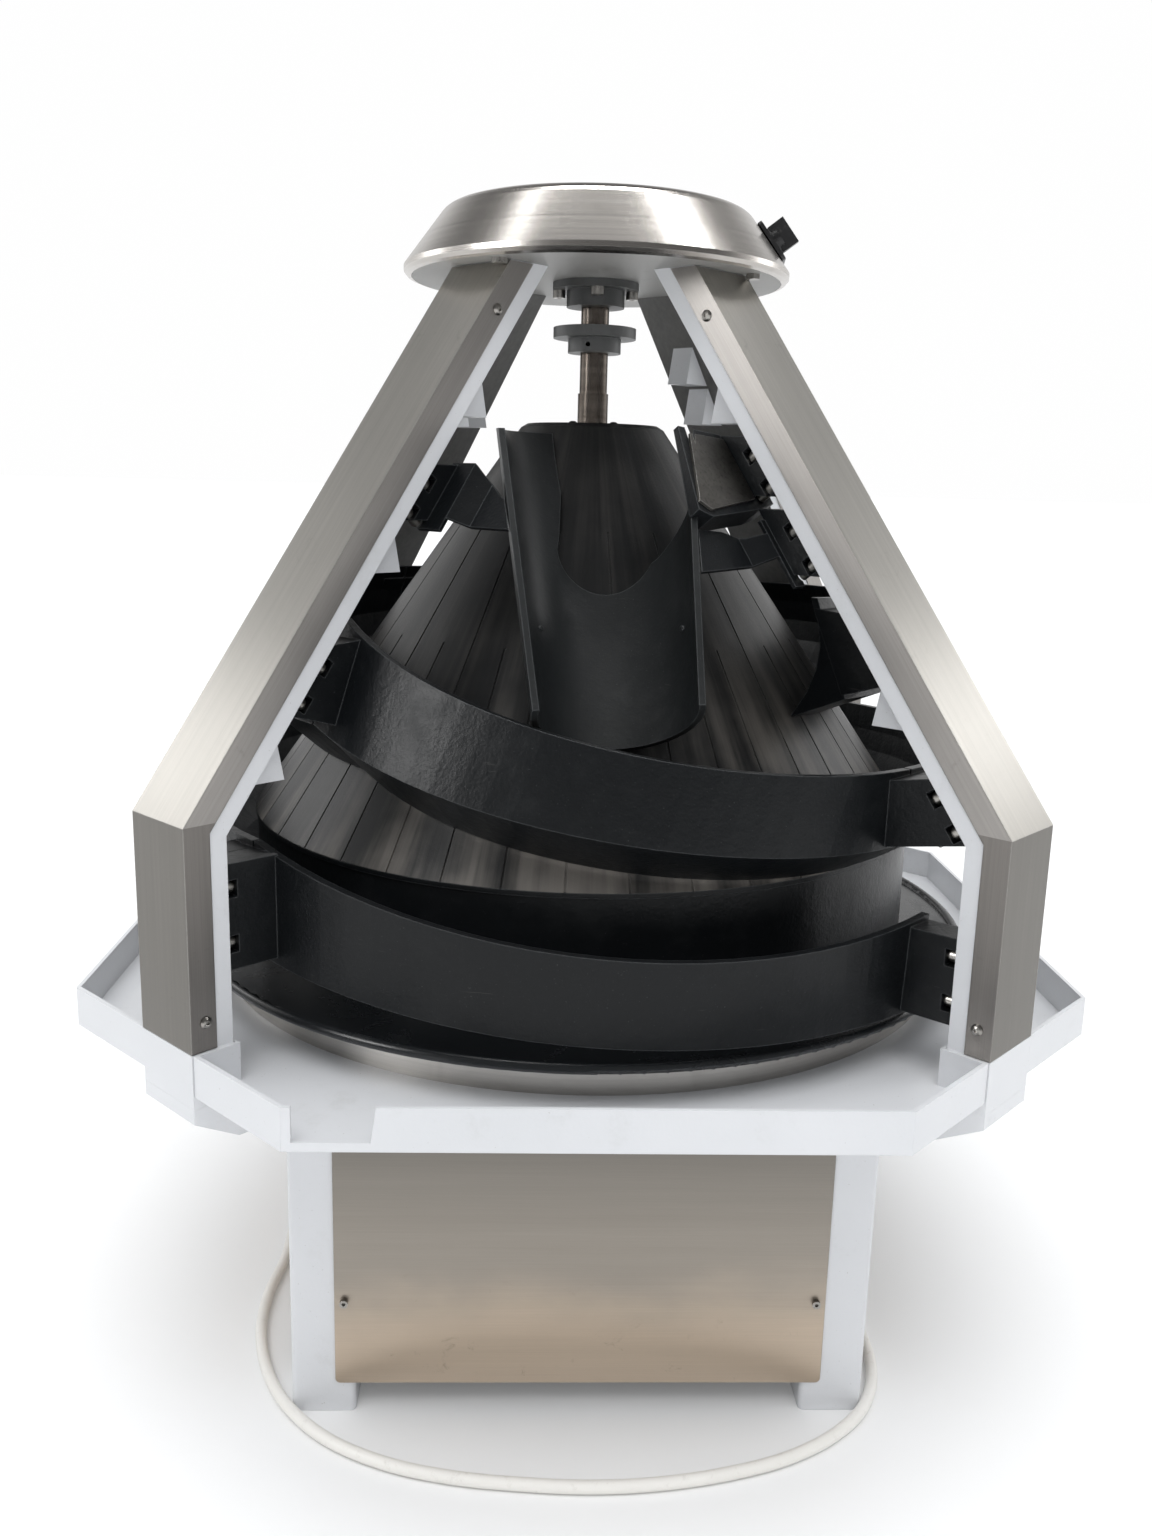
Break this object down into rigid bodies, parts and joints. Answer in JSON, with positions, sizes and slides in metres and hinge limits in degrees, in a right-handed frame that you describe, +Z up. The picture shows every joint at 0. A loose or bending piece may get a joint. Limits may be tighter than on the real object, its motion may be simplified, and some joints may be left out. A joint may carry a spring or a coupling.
{
  "type": "conical_dough_rounder",
  "caption": "Conical dough rounder: a black ribbed cone turns inside a fixed spiral of tracks on four bent columns, with an infeed chute, an octagonal tray and a square pedestal",
  "frame": {"origin": "On the floor, on the cone's axis, at the middle of the tray's square", "axes": "+Z up, -Y is the front with the chute and the outlet side, +X is the right-hand side seen from the front"},
  "size_m": [1, 1, 1.216],
  "materials": {
    "white_paint": "gloss white paint on welded steel, very slightly blue",
    "stainless": "brushed stainless sheet, spun on the cap",
    "fastener_steel": "plain stainless and zinc plated fasteners",
    "grey_paint": "mid grey painted castings",
    "black_coat": "satin black release coating on cast aluminium",
    "shaft_steel": "polished dark steel",
    "black_plastic": "matt black plastic",
    "grey_plastic": "matt grey plastic",
    "cable_cream": "cream cable sheath",
    "belt_rubber": "black rubber V belts"
  },
  "bodies": {
    "frame": {"leg_front_left": "white_paint", "leg_front_right": "white_paint", "leg_back_left": "white_paint", "leg_back_right": "white_paint", "frame_rails": "white_paint", "panel_front": "stainless", "panel_back": "stainless", "panel_left": "stainless", "panel_right": "stainless", "panel_screws": "fastener_steel", "drive_plate": "grey_paint", "drive_bolts": "fastener_steel", "lower_bearing": "grey_paint", "gear_motor": "grey_paint", "drive_belts": "belt_rubber", "tray": "white_paint", "support_arms": "white_paint", "collar_ring": "stainless", "column_front_left": "white_paint", "column_front_right": "white_paint", "column_back_left": "white_paint", "column_back_right": "white_paint", "column_covers": "stainless", "cover_screws": "fastener_steel", "cap_plate": "white_paint", "cap_shell": "stainless", "cap_screws": "fastener_steel", "top_bearing": "grey_paint", "track_upper_right": "black_coat", "track_upper_back": "black_coat", "track_upper_left": "black_coat", "track_upper_front": "black_coat", "track_lower_right": "black_coat", "track_lower_back": "black_coat", "track_lower_left": "black_coat", "track_lower_front": "black_coat", "track_studs": "fastener_steel", "chute": "black_coat", "chute_arm_left": "black_coat", "chute_arm_right": "black_coat", "infeed_guide": "black_coat", "guide_plate": "stainless", "switch_body": "black_plastic", "cable_gland": "grey_plastic", "supply_cable": "cable_cream", "cable_coil": "cable_cream", "cable_tie": "black_plastic", "cable_plug": "cable_cream"},
    "rotor": {"cone": "black_coat", "drum": "black_coat", "flange": "black_coat", "cone_spider": "grey_paint", "cone_hub": "grey_paint", "main_shaft": "shaft_steel", "height_collar": "shaft_steel", "cone_bolts": "fastener_steel", "driven_pulley": "grey_paint"},
    "motor_output": {"motor_pulley": "grey_paint"},
    "switch_handle": {"switch_knob": "black_plastic"}
  },
  "joints": [
    {"name": "cone_spin", "type": "hinge", "parent": "frame", "child": "rotor", "pos_m": [0, 0, 0.6], "axis": [0, 0, 1], "continuous": true},
    {"name": "motor_spin", "type": "hinge", "parent": "frame", "child": "motor_output", "pos_m": [0.14001, 0.14001, 0.33], "axis": [0, 0, 1], "continuous": true},
    {"name": "switch_turn", "type": "hinge", "parent": "frame", "child": "switch_handle", "pos_m": [0.17973, -0.02526, 1.186], "axis": [0.7922, -0.1113, 0.6], "range_deg": [0, 90]}
  ],
  "couplings": [
    {"joint": "motor_spin", "follows": "cone_spin", "ratio": 3.4667}
  ]
}
